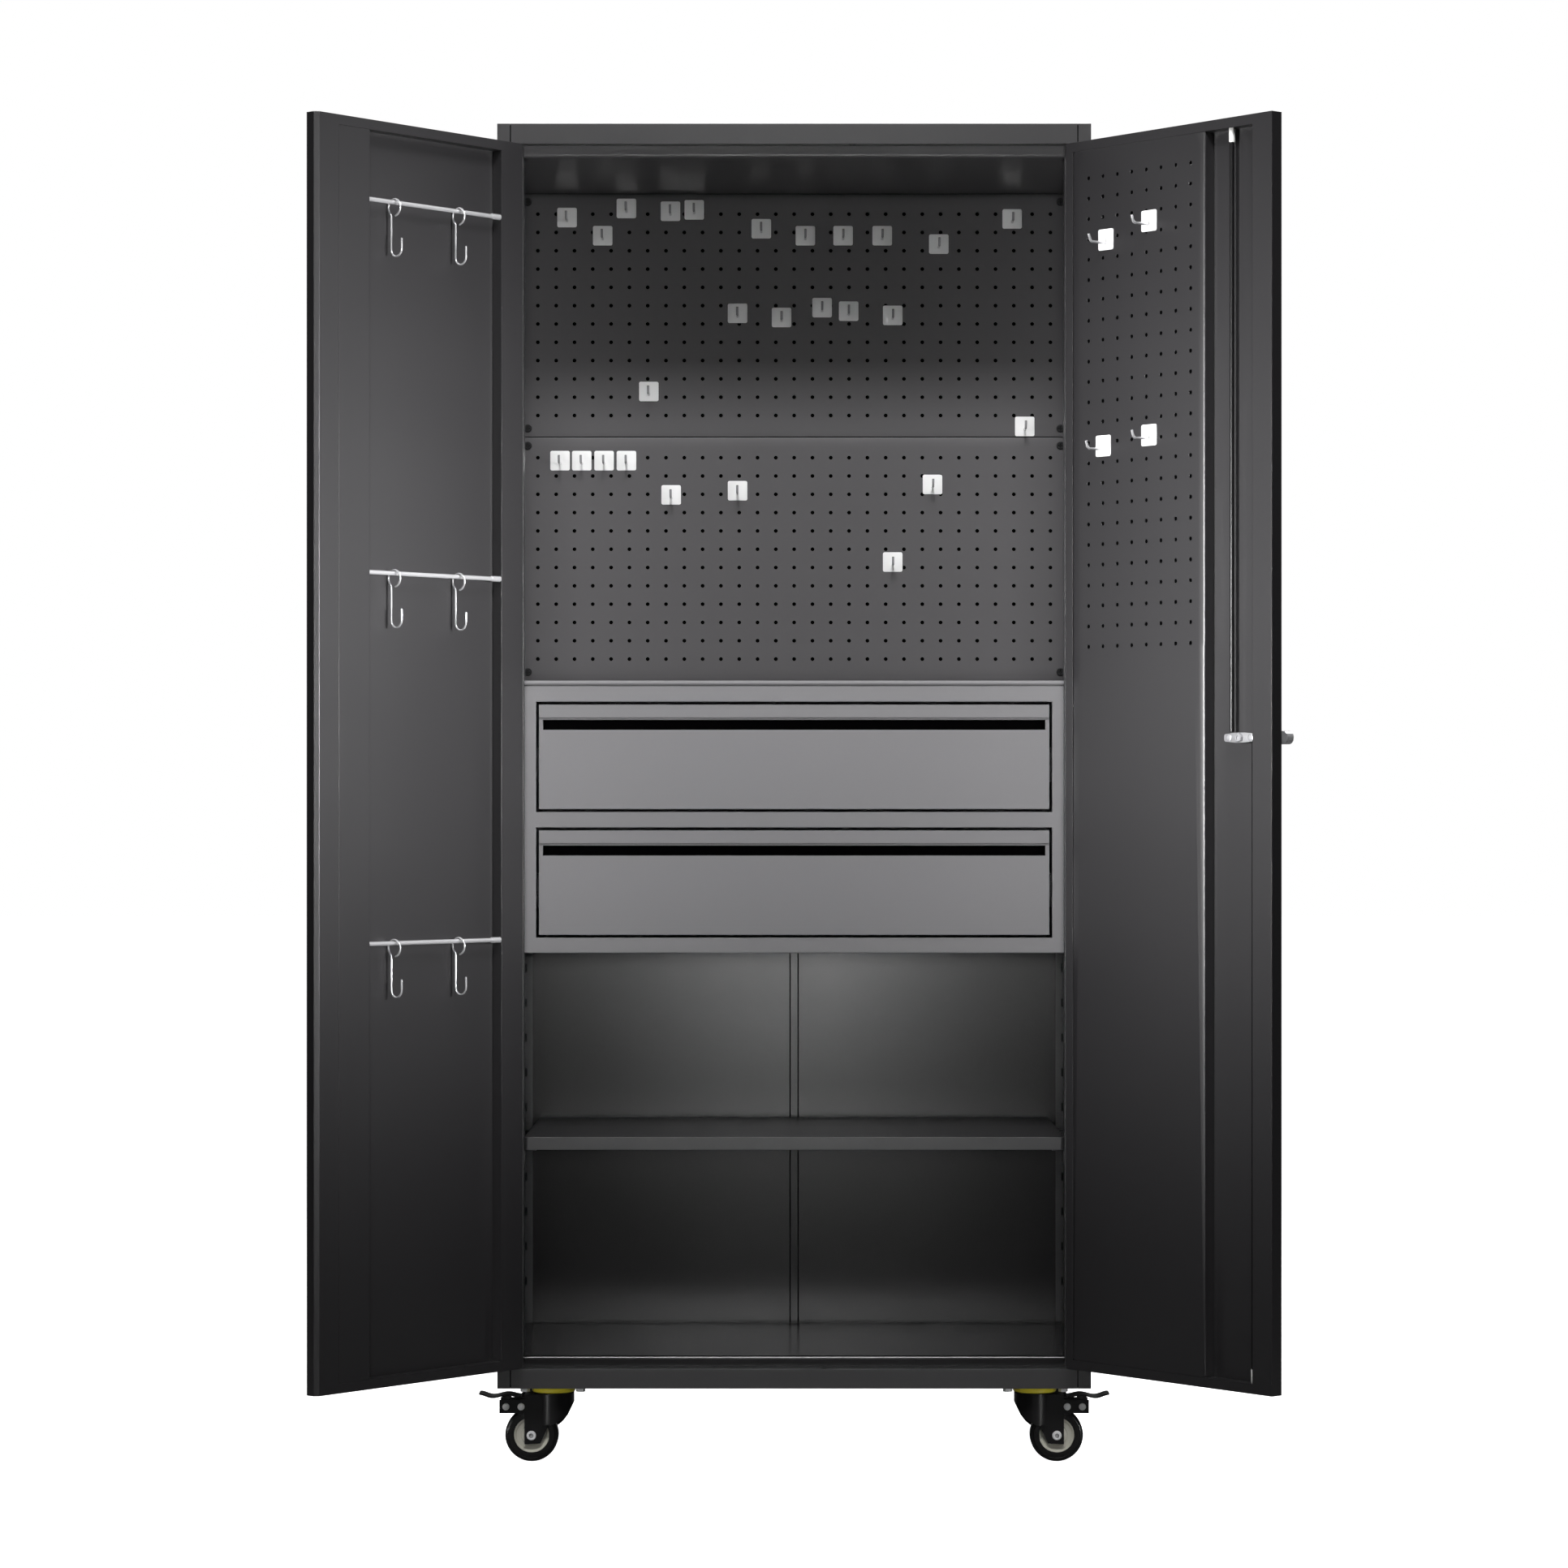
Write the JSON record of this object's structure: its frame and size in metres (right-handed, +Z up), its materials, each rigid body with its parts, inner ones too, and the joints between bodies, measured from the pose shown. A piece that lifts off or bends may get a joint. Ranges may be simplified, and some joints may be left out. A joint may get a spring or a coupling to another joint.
{
  "type": "metal storage cabinet",
  "caption": "Tall steel tool cabinet on casters: two hinged doors, pegboards with hooks, drawers, shelf and a rod lock.",
  "frame": {"origin": "on the floor, under the middle of the box round the cabinet with its doors open as it stands", "axes": "+X to the right seen from the front, +Y to the back, +Z up"},
  "size_m": [1.2679, 0.7386, 1.808],
  "materials": {
    "charcoal_steel": "satin charcoal powder coat",
    "grey_steel": "satin mid-grey powder coat",
    "bright_zinc": "zinc plated",
    "polished_chrome": "polished",
    "black_screws": "black",
    "black_fork": "gloss black",
    "yellow_ring": "matte",
    "caster_wheel": "black tread on a light grey hub",
    "lock_rod": "dark rod with a white plastic tip"
  },
  "bodies": {
    "carcass": {"side_left": "charcoal_steel", "side_right": "charcoal_steel", "top_panel": "charcoal_steel", "ceiling": "charcoal_steel", "floor_pan": "charcoal_steel", "base_tray": "charcoal_steel", "back_left": "charcoal_steel", "back_right": "charcoal_steel", "back_seam": "charcoal_steel", "pegboard_upper": "charcoal_steel", "pegboard_lower": "charcoal_steel", "pegboard_screws": "black_screws", "peg_hooks": "bright_zinc", "shelf": "charcoal_steel", "shelf_clips": "bright_zinc", "drawer_case": "grey_steel", "drawer_face_frame": "grey_steel", "counter": "grey_steel", "slide_channels": "bright_zinc", "frame_hinges": "charcoal_steel", "caster_plates": "bright_zinc", "caster_bolts": "bright_zinc", "caster_races": "yellow_ring"},
    "left_door": {"left_door_shell": "charcoal_steel", "left_door_stile": "charcoal_steel", "hanging_rods": "polished_chrome", "left_door_hinges": "charcoal_steel"},
    "hooks_top": {"hanging_hooks_top": "polished_chrome"},
    "hooks_middle": {"hanging_hooks_middle": "polished_chrome"},
    "hooks_bottom": {"hanging_hooks_bottom": "polished_chrome"},
    "right_door": {"right_door_shell": "charcoal_steel", "right_door_panel": "charcoal_steel", "door_peg_hooks": "bright_zinc", "right_door_hinges": "charcoal_steel", "lock_rose": "polished_chrome"},
    "lock_grip": {"lock_handle": "polished_chrome", "lock_cam": "bright_zinc"},
    "upper_lock_rod": {"lock_rod_upper": "lock_rod"},
    "lower_lock_rod": {"lock_rod_lower": "lock_rod"},
    "upper_drawer": {"upper_drawer_front": "grey_steel", "upper_drawer_tray": "grey_steel"},
    "lower_drawer": {"lower_drawer_front": "grey_steel", "lower_drawer_tray": "grey_steel"},
    "upper_runners": {"upper_slide_runners": "bright_zinc"},
    "lower_runners": {"lower_slide_runners": "bright_zinc"},
    "swivel_front_left": {"fork_front_left": "black_fork", "axle_front_left": "bright_zinc"},
    "wheel_front_left": {"wheel_front_left": "caster_wheel"},
    "brake_front_left": {"brake_pedal_front_left": "black_fork"},
    "swivel_front_right": {"fork_front_right": "black_fork", "axle_front_right": "bright_zinc"},
    "wheel_front_right": {"wheel_front_right": "caster_wheel"},
    "brake_front_right": {"brake_pedal_front_right": "black_fork"},
    "swivel_rear_left": {"fork_rear_left": "black_fork", "axle_rear_left": "bright_zinc"},
    "wheel_rear_left": {"wheel_rear_left": "caster_wheel"},
    "swivel_rear_right": {"fork_rear_right": "black_fork", "axle_rear_right": "bright_zinc"},
    "wheel_rear_right": {"wheel_rear_right": "caster_wheel"}
  },
  "joints": [
    {"name": "left_door_swing", "type": "hinge", "parent": "carcass", "child": "left_door", "pos_m": [-0.38125, -0.06506, 0.977], "axis": [0, 0, -1], "range_deg": [-130.4, 44.6]},
    {"name": "right_door_swing", "type": "hinge", "parent": "carcass", "child": "right_door", "pos_m": [0.38125, -0.06506, 0.977], "axis": [0, 0, 1], "range_deg": [-130.4, 44.6]},
    {"name": "hooks_top_swing", "type": "hinge", "parent": "left_door", "child": "hooks_top", "pos_m": [-0.48244, -0.21235, 1.6755], "axis": [-0.6481, -0.7615, 0], "range_deg": [0, 60]},
    {"name": "hooks_middle_swing", "type": "hinge", "parent": "left_door", "child": "hooks_middle", "pos_m": [-0.48244, -0.21235, 1.192], "axis": [-0.6481, -0.7615, 0], "range_deg": [0, 60]},
    {"name": "hooks_bottom_swing", "type": "hinge", "parent": "left_door", "child": "hooks_bottom", "pos_m": [-0.48244, -0.21235, 0.71], "axis": [-0.6481, -0.7615, 0], "range_deg": [0, 60]},
    {"name": "lock_turn", "type": "hinge", "parent": "right_door", "child": "lock_grip", "pos_m": [0.58643, -0.31294, 0.977], "axis": [0.7615, 0.6481, 0], "range_deg": [0, 90]},
    {"name": "upper_rod_slide", "type": "slide", "parent": "right_door", "child": "upper_lock_rod", "axis": [0, 0, 1], "range_m": [0, 0.0195]},
    {"name": "lower_rod_slide", "type": "slide", "parent": "right_door", "child": "lower_lock_rod", "axis": [0, 0, -1], "range_m": [0, 0.0195]},
    {"name": "upper_drawer_slide", "type": "slide", "parent": "carcass", "child": "upper_drawer", "axis": [0, -1, 0], "range_m": [0, 0.354]},
    {"name": "upper_runner_slide", "type": "slide", "parent": "carcass", "child": "upper_runners", "axis": [0, -1, 0], "range_m": [0, 0.177]},
    {"name": "lower_drawer_slide", "type": "slide", "parent": "carcass", "child": "lower_drawer", "axis": [0, -1, 0], "range_m": [0, 0.354]},
    {"name": "lower_runner_slide", "type": "slide", "parent": "carcass", "child": "lower_runners", "axis": [0, -1, 0], "range_m": [0, 0.177]},
    {"name": "swivel_front_left", "type": "hinge", "parent": "carcass", "child": "swivel_front_left", "pos_m": [-0.3265, -0.00866, 0.0935], "axis": [0, 0, 1], "continuous": true},
    {"name": "roll_front_left", "type": "hinge", "parent": "swivel_front_left", "child": "wheel_front_left", "pos_m": [-0.356, -0.00866, 0.036], "axis": [0, 1, 0], "continuous": true},
    {"name": "brake_front_left", "type": "hinge", "parent": "swivel_front_left", "child": "brake_front_left", "pos_m": [-0.3905, -0.00866, 0.075], "axis": [0, -1, 0], "range_deg": [0, 12]},
    {"name": "swivel_front_right", "type": "hinge", "parent": "carcass", "child": "swivel_front_right", "pos_m": [0.3265, -0.00866, 0.0935], "axis": [0, 0, 1], "continuous": true},
    {"name": "roll_front_right", "type": "hinge", "parent": "swivel_front_right", "child": "wheel_front_right", "pos_m": [0.356, -0.00866, 0.036], "axis": [0, 1, 0], "continuous": true},
    {"name": "brake_front_right", "type": "hinge", "parent": "swivel_front_right", "child": "brake_front_right", "pos_m": [0.3905, -0.00866, 0.075], "axis": [0, 1, 0], "range_deg": [0, 12]},
    {"name": "swivel_rear_left", "type": "hinge", "parent": "carcass", "child": "swivel_rear_left", "pos_m": [-0.3265, 0.31134, 0.0935], "axis": [0, 0, 1], "continuous": true},
    {"name": "roll_rear_left", "type": "hinge", "parent": "swivel_rear_left", "child": "wheel_rear_left", "pos_m": [-0.356, 0.31134, 0.036], "axis": [0, 1, 0], "continuous": true},
    {"name": "swivel_rear_right", "type": "hinge", "parent": "carcass", "child": "swivel_rear_right", "pos_m": [0.3265, 0.31134, 0.0935], "axis": [0, 0, 1], "continuous": true},
    {"name": "roll_rear_right", "type": "hinge", "parent": "swivel_rear_right", "child": "wheel_rear_right", "pos_m": [0.356, 0.31134, 0.036], "axis": [0, 1, 0], "continuous": true}
  ],
  "couplings": [
    {"joint": "upper_rod_slide", "follows": "lock_turn", "m_per_rad": 0.012413},
    {"joint": "lower_rod_slide", "follows": "lock_turn", "m_per_rad": 0.012413},
    {"joint": "upper_runner_slide", "follows": "upper_drawer_slide", "ratio": 0.5},
    {"joint": "lower_runner_slide", "follows": "lower_drawer_slide", "ratio": 0.5}
  ]
}
